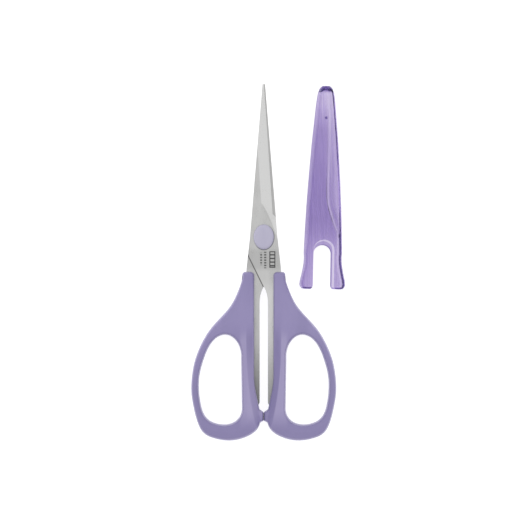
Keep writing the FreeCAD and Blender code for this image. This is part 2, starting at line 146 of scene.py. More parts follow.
class Graph:
    """The node graph of one material or of the world."""

    def __init__(self, owner: Material | bpy.types.World) -> None:
        """Start with no nodes.

        Args:
            owner: The material or world that the nodes belong to.
        """
        self.owner = owner
        owner.use_nodes = True
        self.tree = owner.node_tree
        self.tree.nodes.clear()

    @classmethod
    def named(cls, name: str) -> "Graph":
        """The empty graph of a new material."""
        return cls(bpy.data.materials.new(name))

    def add(self, kind: str, settings: dict[str, object] | None = None,
            inputs: dict[str | int, object] | None = None, output: str | int = 0) -> Wire:
        """Add any node.

        Args:
            kind: The node's type.
            settings: Properties that are set before its inputs.
            inputs: Numbers, colours or wires by input name or number.
            output: The output that is wanted.

        Returns:
            That output.
        """
        node = self.tree.nodes.new(kind)
        for key, value in (settings or {}).items():
            setattr(node, key, value)
        for key, value in (inputs or {}).items():
            if isinstance(value, Wire):
                self.tree.links.new(value.source, node.inputs[key])
            else:
                node.inputs[key].default_value = value
        return Wire(self, node.outputs[output] if node.outputs else None)

    def parts(self, vector: Wire) -> tuple[Wire, Wire, Wire]:
        """The three values of a vector."""
        return tuple(self.add("ShaderNodeSeparateXYZ", None, {0: vector}, i) for i in range(3))

    def place(self) -> tuple[Wire, Wire, Wire]:
        """The surface point in the frame's own coordinates, in millimetres."""
        where = self.add("ShaderNodeTexCoord", output="Object")
        return self.parts(self.add("ShaderNodeVectorMath", {"operation": "SCALE"},
                                   {0: where, "Scale": 1000.0}))

    def join(self, x: Value, y: Value, z: Value) -> Wire:
        """A vector from three values."""
        return self.add("ShaderNodeCombineXYZ", None, {0: x, 1: y, 2: z})

    def noise(self, x: Value, y: Value, z: Value, scale: float, detail: float = 2.0) -> Wire:
        """Soft noise about 0.5 at a point, with scale cells to a unit and detail finer layers."""
        return self.add("ShaderNodeTexNoise", None,
                        {"Vector": self.join(x, y, z), "Scale": scale, "Detail": detail}, "Fac")

    def blend(self, factor: Value, first: Colour | Wire, second: Colour | Wire) -> Wire:
        """A colour that goes from first to second as factor goes from 0 to 1."""
        return self.add("ShaderNodeMix", {"data_type": "RGBA", "clamp_factor": True},
                        {0: factor, 6: first, 7: second}, 2)

    def bump(self, height: Wire, strength: float, base: Wire | None = None) -> Wire:
        """A surface normal from a height, where a height of 1 is a millimetre.

        Args:
            height: The height, 0 to 1.
            strength: How much of it shows.
            base: The normal that it starts from, if not the surface's own.

        Returns:
            The normal.
        """
        values = {"Height": height, "Strength": strength, "Distance": MM}
        if base is not None:
            values["Normal"] = base
        return self.add("ShaderNodeBump", None, values, "Normal")

    def surface(self, **sockets: object) -> Material:
        """Finish the material with one Principled shader.

        Args:
            sockets: Its inputs by name, with _ for a space.

        Returns:
            The material.
        """
        named = {key.replace("_", " "): value for key, value in sockets.items()}
        shader = self.add("ShaderNodeBsdfPrincipled", None, named)
        self.add("ShaderNodeOutputMaterial", None, {"Surface": shader})
        return self.owner


# ---- finishes


@dataclass(frozen=True)
class MouldedPlastic:
    """Satin moulded plastic with faint flow marks and a fine spark texture.

    With bead_at, the pivot's place, the bead along each loop is painted pale as a highlight,
    the left loop's spine gets a painted highlight too, and the rest of each loop's lower half
    gets painted shade. The bead's crest stands crest millimetres from the middle line, and runs
    inwards below the bend.
    """

    name: str
    colour: Colour
    deep: Colour
    roughness: float = 0.38
    coat: float = 0.25
    grain: float = 0.05
    bead_at: Place | None = None
    # The first of these two colours is painted highlight on the beads and the left spine; low is
    # painted shade on the loops' lower halves.
    painted_highlight: Colour = (0.385, 0.340, 0.560, 1.0)
    low: Colour = (0.240, 0.208, 0.410, 1.0)
    crest: float = 7.7
    bend: float = 47.0
    bend_rate: float = 0.0031

    def material(self) -> Material:
        """Build the material.

        Returns:
            The material.
        """
        graph = Graph.named(self.name)
        x, y, z = graph.place()
        flow = graph.noise(x, y * 0.35, z, 0.11, 3.0)
        cloud = graph.noise(x, y, z, 0.45)
        colour = graph.blend(flow.rise(0.36, 0.66), self.colour, self.deep)
        fine = graph.noise(x, y, z, 7.0, 3.0)
        rough = self.roughness + (cloud - 0.5) * 0.12 + (fine - 0.5) * 0.06
        height = fine * 0.7 + graph.noise(x, y, z, 1.3) * 0.3
        if self.bead_at is not None:
            across, down = x - self.bead_at[0] / MM, self.bead_at[1] / MM - y
            side, right = abs(across), across.rise(-1.0, 1.0)
            crest = self.crest - (down - self.bend).most(0.0) ** 2.0 * self.bend_rate
            bead = (side - crest).rise(-0.15, 0.35) * side.rise(11.4, 9.6)
            bead = bead * down.rise(40.5, self.bend) * down.rise(87.0, 76.0)
            # Painted highlight: the left loop's spine is lightened, as if it caught more light than
            # the right one's.
            spine = (1.0 - right) * side.rise(8.2, 6.8) * down.rise(42.0, 60.0)
            spine = spine * down.rise(84.0, 76.0)
            # Painted shade: the rest of each loop's lower half is darkened, where it slopes away
            # from the light.
            lower_painted_shade = down.rise(42.0, 74.0) * (1.0 - bead) * (1.0 - spine) * 0.6
            colour = graph.blend(lower_painted_shade, colour, self.low)
            colour = graph.blend(spine * 0.55, colour, self.painted_highlight)
            # Painted highlight: the bead's top, which faces up, is lightened, a little more on the
            # right loop.
            colour = graph.blend(bead * (right * 0.1 + 0.65), colour, self.painted_highlight)
        return graph.surface(Base_Color=colour, Roughness=rough, IOR=1.5, Coat_Weight=self.coat,
                             Coat_Roughness=0.22, Normal=graph.bump(height, self.grain))


@dataclass(frozen=True)
class BladeSteel:
    """Stainless strip with lengthwise grain and a ground bevel, for one of the two blades.

    Places on it are millimetres from the pivot, x across the scissors and y towards the tips.
    The front blade has an etched mark and a pivot cap on its outer face. inner is the height of
    the face that lies on the other blade, in metres.
    """

    name: str
    pivot: Place
    inner: float
    front: bool
    tone: Colour = grey(0.63, -0.005)
    shade: Colour = grey(0.52, -0.005)
    # under is a darker grey: painted shade on the tangs and on the back blade's inner strip, and a
    # darker band just below the pivot.
    under: Colour = grey(0.34)
    # The next grey is the ground strip's lighter grind finish, partly painted reflection.
    ground_grind_and_painted_sheen: Colour = grey(0.76, -0.005)
    # polished is painted light on the front blade's tang, not a finer finish.
    polished: Colour = grey(0.74, -0.005)
    # sooty is painted shade on the back blade's tang, not soot.
    tang_painted_shade: Colour = grey(0.22)
    # rubbed is a painted shadow along the other blade's edge, not a rub mark.
    edge_painted_shadow: Colour = grey(0.06)
    shadow: Colour = grey(0.10, 0.02)
    ink: Colour = grey(0.035, 0.002)
    reach: float = 68.5
    cap_half: Point = (4.55, 5.6)

    def _etch(self, x: Wire, y: Wire) -> Wire:
        """An etched mark of plain bars, running along the blade under the pivot cap.

        Args:
            x: Across the scissors from the pivot.
            y: Along the scissors from the pivot.

        Returns:
            1 on the mark.
        """
        plate = x.band(2.5, 5.2, 0.05) * y.band(-13.8, -6.4, 0.05)
        inside = x.band(2.95, 4.75, 0.05) * y.band(-13.35, -6.85, 0.05)
        rungs = (y * 3.87 + 1.1).wave().rise(0.3, 0.5)
        emblem = plate * (1.0 - inside) + inside * rungs
        dashes = (y * 5.3).wave().rise(-0.35, -0.1)
        fine = (x.band(-1.6, -0.75, 0.05) * y.band(-12.6, -7.0, 0.05)
                + x.band(0.15, 1.15, 0.05) * y.band(-14.0, -6.6, 0.05)) * dashes * 0.85
        return (emblem + fine).least(1.0)

    def material(self) -> Material:
        """Build the material.

        Returns:
            The material.
        """
        graph = Graph.named(self.name)
        x, y, z = graph.place()
        x, y = x - self.pivot[0] / MM, y - self.pivot[1] / MM
        outer = abs(z - self.inner / MM).rise(0.02, 0.06)
        out = x if self.front else x * -1.0
        # The ground strip reaches from the edge to a line beside it, and runs out near the pivot.
        line = out - ((self.reach - y) * 0.0695 - 4.8)
        runout = y - 15.0 + (out + 1.1).most(0.0) ** 1.35 * 1.1
        ground = line.rise(-0.12, 0.12) * runout.rise(-0.5, 0.5) * outer
        along = graph.noise(x, y * 0.045, z, 9.0, 4.0)
        cross = graph.noise(x * 0.12, y, z, 6.0, 3.0)
        cloud = graph.noise(x, y * 0.4, z, 0.22)
        streak = along * (1.0 - ground) + cross * ground
        colour = graph.blend(cloud.rise(0.3, 0.7) * 0.5 + streak * 0.5, self.shade, self.tone)
        # The ground strip is lighter: partly its own grind finish, partly painted reflection.
        colour = graph.blend(ground * 0.8, colour, self.ground_grind_and_painted_sheen)
        # A band just below the pivot, across the mark, is darker.
        colour = graph.blend(y.band(-14.5, -5.5, 1.5) * 0.35, colour, self.under)
        # Painted light: the front blade's tang is lightened, as it lies higher and catches more
        # light than the back one's.
        if self.front:
            colour = graph.blend(y.rise(-18.0, -26.0) * 0.6, colour, self.polished)
        # Painted shade: each tang darkens towards its lower end, deep between the loops, the back
        # one's most.
        tang = y.rise(-36.0, -74.0) * 0.95
        colour = graph.blend(tang, colour, self.under if self.front else self.tang_painted_shade)
        rough = 0.30 + (streak - 0.5) * 0.16 + (cloud - 0.5) * 0.08
        level = None
        if self.front:
            mark = self._etch(x, y) * outer
            # Painted shadow: a dark contact line goes round the cap, strongest towards its lower
            # right.
            across, upward = self.cap_half
            oval = ((x / across) ** 2.0 + (y / upward) ** 2.0).root()
            around = oval.rise(1.09, 1.0) * (x * 0.35 - y * 0.3).rise(-1.6, 1.6)
            colour = graph.blend(around * outer, colour, self.shadow)
            colour = graph.blend(mark * 0.85, colour, self.ink)
            rough = rough + mark * 0.3
            # The corner where the ground strip begins shades as if it were level with the flat.
            corner = out.rise(4.0, 4.2) * y.band(3.2, 7.8, 0.2) * outer
            own = graph.add("ShaderNodeNewGeometry", output="Normal")
            level = graph.blend(corner, own, (0.0, 0.0, 1.0, 1.0))
        else:
            inner = 1.0 - outer
            # Painted shade: the back blade's inner face, where it shows beside the front blade, is
            # darkened as if shadowed by it.
            colour = graph.blend(y.band(8.0, 80.0, 1.0) * inner * 0.39, colour, self.under)
            # Painted shadow: a dark line where the other blade's lower edge ends, as cast by that
            # edge.
            beside = (x - 0.3) * 0.8985 + (y + 22.8) * 0.439
            edge_shadow_mask = beside.band(-0.42, 0.2, 0.12) * y.band(-23.5, -8.0, 0.6)
            colour = graph.blend(edge_shadow_mask * inner * 0.8, colour, self.edge_painted_shadow)
        return graph.surface(Base_Color=colour, Metallic=0.92, Roughness=rough,
                             Normal=graph.bump(streak, 0.10, base=level))


@dataclass(frozen=True)
class TurnedSteel:
    """Small turned steel parts, with rings about the pivot."""

    name: str
    pivot: Place
    tone: Colour = grey(0.55, 0.01)
    crest: Colour = grey(0.68)

    def material(self) -> Material:
        """Build the material.

        Returns:
            The material.
        """
        graph = Graph.named(self.name)
        x, y, z = graph.place()
        x, y = x - self.pivot[0] / MM, y - self.pivot[1] / MM
        radius = (x * x + y * y).root()
        rings = graph.noise(radius, z, 0.0, 5.0, 3.0)
        colour = graph.blend(rings, self.tone, self.crest)
        return graph.surface(Base_Color=colour, Metallic=1.0, Roughness=0.28 + rings * 0.15,
                             Normal=graph.bump(rings, 0.12))


@dataclass(frozen=True)
class ClearCover:
    """Clear tinted plastic, polished, with faint flow streaks from the closed end."""

    name: str
    origin: Point
    tilt: float
    tint: Colour = (0.235, 0.045, 0.58, 1.0)
    density: float = 1010.0
    pale: Colour = (1.0, 0.99, 1.0, 1.0)
    veil: Colour = (0.88, 0.84, 0.95, 1.0)

    def material(self) -> Material:
        """Build the material.

        Returns:
            The material.
        """
        graph = Graph.named(self.name)
        x, y, z = graph.place()
        along = self.origin[1] / MM - y
        across = x - self.origin[0] / MM - along * math.tan(self.tilt)
        streak = graph.noise(across, along * 0.03, z, 1.6, 3.0)
        cloud = graph.noise(across, along * 0.2, z, 0.25)
        fine = graph.noise(x, y, z, 5.0)
        # Painted highlight: along the ridge the streaks give way to white, so the ridge shows as a
        # bright line. It turns off towards the side near the mouth.
        beside = across - 1.6 - (along - 51.0).most(0.0) ** 1.35 * 0.13
        ridge = beside.band(-0.3, 0.25, 0.1) * along.band(12.0, 67.0, 2.0)
        colour = graph.blend(streak.rise(0.3, 0.75), self.pale, self.veil)
        colour = graph.blend(ridge, colour, WHITE)
        shader = graph.add("ShaderNodeBsdfPrincipled", None, {
            "Base Color": colour, "Roughness": 0.03 + cloud * 0.04, "IOR": 1.49,
            "Transmission Weight": 1.0, "Normal": graph.bump(streak * 0.8 + fine * 0.2, 0.05)})
        dye = graph.add("ShaderNodeVolumeAbsorption", None,
                        {"Color": self.tint, "Density": self.density})
        graph.add("ShaderNodeOutputMaterial", None, {"Surface": shader, "Volume": dye})
        return graph.owner


@dataclass(frozen=True)
class PlainFloor:
    """White table top."""

    name: str = "white_table"

    def material(self) -> Material:
        """Build the material.

        Returns:
            The material.
        """
        graph = Graph.named(self.name)
        return graph.surface(Base_Color=grey(0.5), Roughness=0.9, Specular_IOR_Level=0.1,
                             Emission_Color=WHITE, Emission_Strength=0.8)


# ---- curves and meshes


def spline(poles: Sequence[Point], count: int) -> Array:
    """Points on a clamped uniform cubic B-spline.

    Args:
        poles: Its control points.
        count: How many points are wanted.

    Returns:
        An array of count by 2.
    """
    control = np.array(poles, float)
    last, degree = len(poles) - 1, 3
    inner = np.linspace(0, 1, last - degree + 2)
    knots = np.concatenate([np.zeros(degree), inner, np.ones(degree)])
    out = np.empty((count, 2))
    for row, t in enumerate(np.linspace(0, 1, count)):
        span = int(min(np.searchsorted(knots, t, side="right") - 1, last))
        work = control[span - degree:span + 1].copy()
        for level in range(1, degree + 1):
            for j in range(degree, level - 1, -1):
                i = span - degree + j
                width = knots[i + degree - level + 1] - knots[i]
                share = 0.0 if width == 0 else (t - knots[i]) / width
                work[j] = (1 - share) * work[j - 1] + share * work[j]
        out[row] = work[degree]
    return out


def arc(centre: Point, radius: float, first: float, last: float, count: int) -> Array:
    """Count points on an arc, between two angles in degrees."""
    turn = np.radians(np.linspace(first, last, count))
    return np.column_stack([centre[0] + radius * np.cos(turn), centre[1] + radius * np.sin(turn)])


def even(path: Array, count: int) -> tuple[Array, Array]:
    """Spread points evenly along a closed path.

    Args:
        path: The path, without its first point repeated.
        count: How many points are wanted.

    Returns:
        The points, and each one's share of the way round.
    """
    ring = np.vstack([path, path[:1]])
    run = np.concatenate([[0.0], np.cumsum(np.hypot(*np.diff(ring, axis=0).T))])
    share = np.arange(count) / count
    where = share * run[-1]
    return np.column_stack([np.interp(where, run, ring[:, k]) for k in (0, 1)]), share


def far(points: Array, ring: Array) -> Array:
    """Distance from points to a closed path.

    Args:
        points: The points, n by 2.
        ring: The path, m by 2.

    Returns:
        n distances.
    """
    start, step = ring, np.roll(ring, -1, axis=0) - ring
    long = np.maximum((step ** 2).sum(1), 1e-12)
    best = np.full(len(points), 1e9)
    for low in range(0, len(points), 4000):
        part = points[low:low + 4000]
        gap = part[:, None, :] - start[None]
        share = np.clip((gap * step[None]).sum(2) / long[None], 0, 1)
        best[low:low + 4000] = np.sqrt(
            ((gap - share[..., None] * step[None]) ** 2).sum(2)).min(1)
    return best


def step(value: Array, low: float, high: float) -> Array:
    """A smooth step from 0 at low to 1 at high, which may lie below low."""
    share = np.clip((value - low) / (high - low), 0.0, 1.0)
    return share * share * (3 - 2 * share)


def place_object(name: str, data: bpy.types.ID | None) -> Object:
    """Make an object from its data and put it in the scene.

    Args:
        name: The object's name.
        data: Its mesh, lamp or camera.

    Returns:
        The object.
    """
    made = bpy.data.objects.new(name, data)
    bpy.context.scene.collection.objects.link(made)
    return made


def outward(piece: Object) -> None:
    """Turn every face of a closed mesh outwards.

    Args:
        piece: The object.
    """
    mesh = bmesh.new()
    mesh.from_mesh(piece.data)
    bmesh.ops.recalc_face_normals(mesh, faces=mesh.faces)
    mesh.to_mesh(piece.data)
    mesh.free()


def make_piece(name: str, points: Array, faces: Sequence[Sequence[int]],
               material: Material, smooth_angle: float = 40.0) -> Object:
    """Make a closed mesh object from points in metres.

    Args:
        name: The piece's name.
        points: n by 3.
        faces: Corner numbers of each face.
        material: Its material.
        smooth_angle: Edges sharper than this stay crisp, in degrees.

    Returns:
        The object.
    """
    mesh = bpy.data.meshes.new(name)
    mesh.from_pydata([tuple(map(float, p)) for p in points], [],
                     [list(map(int, f)) for f in faces])
    mesh.validate()
    mesh.materials.append(material)
    made = place_object(name, mesh)
    mesh.shade_smooth()
    mesh.set_sharp_from_angle(angle=math.radians(smooth_angle))
    outward(made)
    LOG.info("built %s with %d faces", name, len(faces))
    return made


def rings_to_faces(rings: int, around: int, closed: bool = False) -> list[list[int]]:
    """Quads between rings of points that follow each other.

    Args:
        rings: How many rings.
        around: Points in each.
        closed: Whether the last ring joins the first.

    Returns:
        The faces.
    """
    faces = []
    for i in range(rings if closed else rings - 1):
        a, b = i * around, (i + 1) % rings * around
        for j in range(around):
            k = (j + 1) % around
            faces.append([a + j, a + k, b + k, b + j])
    return faces


# ---- the pieces


@dataclass
class Handle:
    """One moulded finger loop with its shank, raised bead and stop bump.

    Sizes are in millimetres, in the pivot frame: x from the pivot axis, y towards the tips.
    """

    name: str
    node: str
    body: Body
    pivot: Place
    turned_over: bool
    top: float = -15.6
    inner: float = 4.3
    outer: float = 9.6
    corner_in: float = 1.7
    corner_out: float = 1.2
    thick: float = 6.5
    thin: float = 4.3
    crown: float = 0.45
    spine_fall: float = 1.95
    spine_width: float = 2.65
    crest_lift: float = 0.12
    rim_lean: float = 1.0
    foot_roll: float = 1.5
    around: int = 720
    across: int = 30
    flank: Table = (
        (9.6, -19.27), (12.74, -28.25), (17.26, -34.10), (24.35, -40.93), (28.86, -49.27),
        (31.74, -57.12), (32.83, -68.13), (31.87, -74.58), (28.96, -87.41), (22.90, -90.34),
        (13.17, -92.03), (2.07, -87.39), (0.90, -80.21), (3.75, -69.32), (4.30, -64.52),
        (4.30, -61.0))
    hole: Table = (
        (9.8, -76.6), (9.8, -80.2), (13.95, -85.16), (26.0, -83.12), (28.62, -74.72),
        (29.49, -64.0), (27.46, -55.96), (23.6, -45.6), (15.0, -41.76), (9.8, -49.2),
        (10.15, -54.4))
    # Outline point, hole point, width of the outer rounding, width of the hole's rounding.
    pairs: Sequence[tuple[Point, Point, float, float]] = (
        ((6.9, -15.6), (11.6, -47.2), 1.3, 1.4),
        ((9.6, -17.0), (12.2, -46.5), 1.3, 1.4),
        ((10.0, -21.0), (13.0, -45.7), 1.4, 1.4),
        ((11.3, -25.0), (14.4, -44.9), 1.6, 1.4),
        ((18.5, -35.2), (18.2, -44.0), 1.8, 1.4),
        ((25.1, -42.8), (22.0, -45.9), 1.5, 1.3),
        ((30.3, -53.5), (26.6, -54.0), 1.25, 1.1),
        ((32.45, -67.0), (29.1, -66.0), 1.2, 1.0),
        ((31.0, -78.3), (27.6, -77.6), 1.3, 1.1),
        ((27.6, -88.0), (24.2, -82.2), 1.6, 1.2),
        ((15.0, -91.2), (17.2, -84.0), 1.8, 1.2),
        ((5.0, -88.2), (11.6, -81.4), 1.6, 1.2),
        ((0.3, -80.2), (9.9, -78.6), 0.9, 1.2),
        ((3.6, -70.0), (9.75, -72.0), 0.45, 1.1),
        ((4.3, -58.0), (10.1, -58.0), 0.4, 1.1),
        ((4.3, -46.0), (10.2, -52.5), 0.45, 1.2),
        ((4.3, -32.0), (10.6, -49.6), 0.6, 1.3),
        ((4.3, -19.5), (11.2, -47.9), 0.8, 1.4),
    )
    bead: Table = (
        (-90.0, 2.4), (-86.0, 3.2), (-82.0, 4.0), (-78.0, 4.85), (-72.0, 6.0), (-63.0, 7.0),
        (-55.0, 7.45), (-47.0, 7.65), (-40.0, 7.7), (-30.0, 7.7))

    def outline(self) -> Array:
        """The outer outline with its stop bump.

        Returns:
            A closed path.
        """
        curve = spline([(self.outer, -18.1), *self.flank], 900)
        window = step(curve[:, 1], -83.3, -82.1) * (1 - step(curve[:, 1], -78.7, -76.9))
        reach = np.where(curve[:, 0] < 6, window, 0.0)
        curve[:, 0] = curve[:, 0] * (1 - reach) + 0.03 * reach
        c_in, c_out = self.corner_in, self.corner_out
        up = np.linspace(-61.0, self.top - c_in, 60)[1:-1]
        return np.vstack([
            np.column_stack([np.full_like(up, self.inner), up]),
            arc((self.inner + c_in, self.top - c_in), c_in, 180, 90, 12),
            arc((self.outer - c_out, self.top - c_out), c_out, 90, 0, 12),
            curve])

    def side(self, y: Array) -> Array:
        """Half the thickness along the handle."""
        return self.thin + (self.thick - self.thin) * step(y, -19.6, -48.0)

    def heights(self, flat: Array, rim: Array, hole: Array, soft_out: Array,
                soft_in: Array) -> Array:
        """Height of the upper face above the middle plane.

        Args:
            flat: Points in plan.
            rim: The outer outline.
            hole: The hole's outline.
            soft_out: Width of the outer rounding at each point.
            soft_in: Width of the hole's rounding at each point.

        Returns:
            One height for each point.
        """
        x, y = flat.T
        gap_out, gap_in = far(flat, rim), far(flat, hole)
        width = np.maximum(gap_out + gap_in, 1e-6)
        squeeze = np.minimum(1.0, width / np.maximum(soft_out + soft_in, 1e-6))
        ridge_y, ridge_x = np.array(self.bead).T
        beside = np.interp(y, ridge_y, ridge_x) - x
        deep = (1 - step(y, -48.0, -37.0)) * step(y, -91.0, -80.5)
        # The spine falls from the bead's crest to a flat beside the tang and over the stop bump.
        fall = np.minimum((np.sqrt(beside ** 2 + 0.16) + beside) / 2 / self.spine_width, 1.0)
        crest = np.exp(-((beside + 0.35) / 0.4) ** 2) * step(y, -86, -78)
        full = self.side(y) + deep * (self.crest_lift * crest - self.spine_fall * fall)
        # The rim leans towards the hole, and the foot of the loop rolls down to the table side.
        full = full - self.rim_lean * step(x, 15.0, 24.0) * gap_out / width
        full = full - self.foot_roll * step(y, -83.0, -92.5) * step(x, 1.0, 7.0)
        full = full - self.crown * (1 - step(np.minimum(gap_out, gap_in), 0.0, 7.0))

        def rounded(gap: Array, soft: Array, power: float = 2.5) -> Array:
            """Share of the full height, a set distance from a rounded edge."""
            share = np.clip(gap / np.maximum(soft * squeeze, 1e-6), 0, 1)
            return (1 - (1 - share) ** power) ** (1 / power)

        return full * rounded(gap_out, soft_out) * rounded(gap_in, soft_in)

    def build(self, material: Material) -> None:
        """Build the loop as one closed mesh.

        Args:
            material: Its finish.
        """
        rim, _ = even(self.outline(), self.around)
        inner_path, inner_share = even(spline(self.hole, 500), 1440)
        anchors = []
        for out_point, hole_point, soft_out, soft_in in self.pairs:
            i = int(np.argmin(np.hypot(*(rim - out_point).T)))
            j = int(np.argmin(np.hypot(*(inner_path - hole_point).T)))
            anchors.append((i / self.around, inner_share[j], soft_out, soft_in))
        anchors.sort()
        table = np.array(anchors)
        # The hole's outline runs the other way round, so its share is unwound to fall steadily.
        table[:, 1] = np.unwrap(table[:, 1] * 2 * math.pi) / (2 * math.pi)
        sign = math.copysign(1.0, table[-1, 1] - table[0, 1])
        wrap = np.vstack([table[-1] - [1, sign, 0, 0], table, table[0] + [1, sign, 0, 0]])
        share = np.arange(self.around) / self.around
        match, *softs = (np.interp(share, wrap[:, 0], column) for column in wrap.T[1:])
        facing = np.column_stack([np.interp(match, inner_share, axis, period=1)
                                  for axis in inner_path.T])
        spread = (1 - np.cos(np.pi * np.linspace(0, 1, self.across + 1))) / 2
        flat = facing[:, None] + (rim - facing)[:, None] * spread[None, :, None]
        softs = (np.repeat(soft, self.across + 1) for soft in softs)
        height = self.heights(flat.reshape(-1, 2), rim, inner_path[::3], *softs)
        height = height.reshape(self.around, self.across + 1)
        height[:, 0] = height[:, -1] = 0.0
        upper = np.dstack([flat, height])
        lower = np.dstack([flat, -height])[:, 1:-1][:, ::-1]
        loop = np.concatenate([upper, lower], axis=1)
        points = loop.reshape(-1, 3)
        if self.turned_over:
            points = points * np.array([-1.0, 1.0, -1.0])
        points = points * MM + np.array(self.pivot)
        faces = rings_to_faces(self.around, loop.shape[1], closed=True)
        piece = make_piece(self.name, points, faces, material, 60.0)
        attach(piece, self.body.value)
        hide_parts(self.node)


@dataclass
class PivotCap:
    """Oval cap over one end of the pivot screw, a shallow dome with a rolled rim."""

    name: str
    node: str
    pivot: Place
    turned_over: bool
    base: float
    width: float = 9.1
    length: float = 11.2
    height: float = 1.85
    around: int = 96
    # Share of the oval's size, and share of the height.
    profile: Table = (
        (0.90, 0.0), (0.925, 0.08), (0.975, 0.17), (1.0, 0.26), (1.0, 0.36), (0.993, 0.46),
        (0.972, 0.58), (0.94, 0.70), (0.895, 0.795), (0.84, 0.865), (0.77, 0.915), (0.66, 0.95),
        (0.5, 0.975), (0.3, 0.992), (0.12, 1.0))

    def build(self, material: Material) -> None:
        """Build the cap.

        Args:
            material: Its finish.
        """
        turn = np.linspace(0, 2 * math.pi, self.around, endpoint=False)
        rings = [np.column_stack([share * self.width / 2 * np.cos(turn),
                                  share * self.length / 2 * np.sin(turn),
                                  np.full(self.around, self.base + rise * self.height)])
                 for share, rise in self.profile]
        points = np.vstack(rings + [[[0, 0, self.base + self.height]], [[0, 0, self.base]]])
        faces = rings_to_faces(len(rings), self.around)
        peak, foot = len(points) - 2, len(points) - 1
        top = (len(rings) - 1) * self.around
        for j in range(self.around):
            k = (j + 1) % self.around
            faces.append([top + j, top + k, peak])
            faces.append([k, j, foot])
        if self.turned_over:
            points = points * np.array([-1.0, 1.0, -1.0])
        piece = make_piece(self.name, points * MM + np.array(self.pivot), faces, material, 50.0)
        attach(piece, Body.FRONT.value)
        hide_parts(self.node)


@dataclass
class BladeCover:
    """Clear cover with thin walls, an off-centre ridge that opens into a bell, and two legs.

    Stations are millimetres from the closed end. The cover lies on its flat back. A table lists
    a size at each station.
    """

    origin: Point
    tilt: float
    length: float = 91.3
    peak: float = 4.65
    side: float = 4.0
    hollow_start: float = 1.2
    dome: float = 2.2
    # Half-width of the outside.
    widths: Table = (
        (0.0, 1.75), (0.5, 2.35), (1.0, 2.8), (1.5, 3.1), (3.1, 3.7), (4.9, 4.0), (8.3, 4.44),
        (15.4, 5.08), (25.9, 6.05), (35.2, 6.7), (44.4, 7.33), (53.7, 7.87), (63.0, 8.3),
        (69.1, 8.5), (75.6, 8.7), (77.2, 8.5), (79.5, 8.65), (81.5, 8.9), (84.6, 9.5),
        (87.7, 10.2), (89.3, 10.35), (90.3, 10.1), (91.0, 9.6), (91.3, 9.1))
    # Place of the ridge, and of the line that leaves it on the left.
    right: Table = (
        (0.0, 1.0), (4.0, 1.3), (15.5, 1.6), (25.0, 1.75), (33.5, 1.8), (44.0, 1.6), (50.0, 1.75),
        (53.0, 2.05), (55.5, 2.7), (59.5, 3.9), (63.5, 5.4), (66.0, 6.6), (68.0, 7.3), (91.3, 8.4))
    left: Table = (
        (0.0, 0.1), (4.0, 0.4), (15.5, 0.7), (44.0, 0.7), (50.0, 0.4), (53.0, -0.4), (56.5, -2.3),
        (60.0, -3.7), (64.0, -4.6), (67.5, -4.9), (91.3, -5.4))
    # Thickness of the back, the left roof, the right roof, the ridge and the strip beside it.
    back_wall: Table = (
        (0.0, 0.25), (8.0, 0.28), (22.0, 0.5), (66.0, 0.5), (72.0, 0.4), (90.5, 0.4), (90.7, 1.0),
        (91.3, 1.0))
    left_wall: Table = (
        (0.0, 0.25), (8.0, 0.3), (20.0, 0.65), (33.0, 0.7), (45.0, 0.82), (60.0, 0.85),
        (70.0, 0.62), (80.0, 0.52), (90.5, 0.45), (90.7, 1.6), (91.3, 1.6))
    right_wall: Table = (
        (0.0, 0.25), (8.0, 0.22), (30.0, 0.15), (60.0, 0.15), (70.0, 0.22), (90.5, 0.22),
        (90.7, 1.6), (91.3, 1.6))
    ridge_wall: Table = (
        (0.0, 0.2), (60.0, 0.14), (68.0, 0.2), (90.5, 0.2), (90.7, 1.6), (91.3, 1.6))
    near_wall: Table = (
        (0.0, 0.25), (8.0, 0.26), (25.0, 0.4), (33.0, 0.48), (45.0, 0.72), (60.0, 0.76),
        (68.0, 0.3), (90.5, 0.3), (90.7, 1.6), (91.3, 1.6))
    # How far each side leans in from its foot to the roof, and how thick it is.
    lean_left: Table = ((0.0, 1.9), (68.0, 1.9), (76.0, 1.1), (91.3, 1.1))
    lean_right: float = 0.45
    thin_side: Table = ((0.0, 0.45), (70.0, 0.45), (76.0, 0.55), (91.3, 0.55))
    thick_side: Table = ((0.0, 0.6), (40.0, 0.68), (64.0, 0.72), (67.0, 1.0), (91.3, 1.05))
    # Blocks of the notch: operation, name, reach to each side, arch, heights and flared foot.
    notch: Sequence[tuple[str, str, Point, float, Point, bool]] = (
        ("UNION", "notch_lip", (4.0, 4.25), 69.8, (0.3, 0.95), False),
        ("UNION", "notch_edge", (4.05, 3.85), 71.25, (0.35, 1.9), False),
        ("DIFFERENCE", "notch_roof", (4.25, 5.15), 69.1, (2.2, 9.0), True),
        ("DIFFERENCE", "notch_back", (4.2, 3.5), 71.6, (-3.0, 9.0), True))

    def _at(self, table: Table, station: float) -> float:
        """A size at a station, between the two listed beside it."""
        where, size = np.array(table).T
        return float(np.interp(station, where, size))

    def _loop(self, corners: Sequence[Place], turn: int = 5, run: int = 6) -> Array:
        """A closed path with rounded corners and a fixed number of points.

        Args:
            corners: Across, up and radius of each corner.
            turn: Points on each corner.
            run: Points between two corners.

        Returns:
            The points.
        """
        spots = np.array([corner[:2] for corner in corners])
        ends = []
        for here, back, ahead, corner in zip(spots, np.roll(spots, 1, 0), np.roll(spots, -1, 0),
                                             corners):
            before, after = back - here, ahead - here
            len_b, len_a = np.hypot(*before), np.hypot(*after)
            cut = min(corner[2], 0.45 * len_b, 0.45 * len_a)
            ends.append((here + before / len_b * cut, here, here + after / len_a * cut))
        points = []
        for (start, here, stop), (following, _, _) in zip(ends, ends[1:] + ends[:1]):
            for t in np.linspace(0, 1, turn):
                points.append((1 - t) ** 2 * start + 2 * t * (1 - t) * here + t * t * stop)
            for t in np.linspace(0, 1, run + 2)[1:-1]:
                points.append(stop + (following - stop) * t)
        return np.array(points)

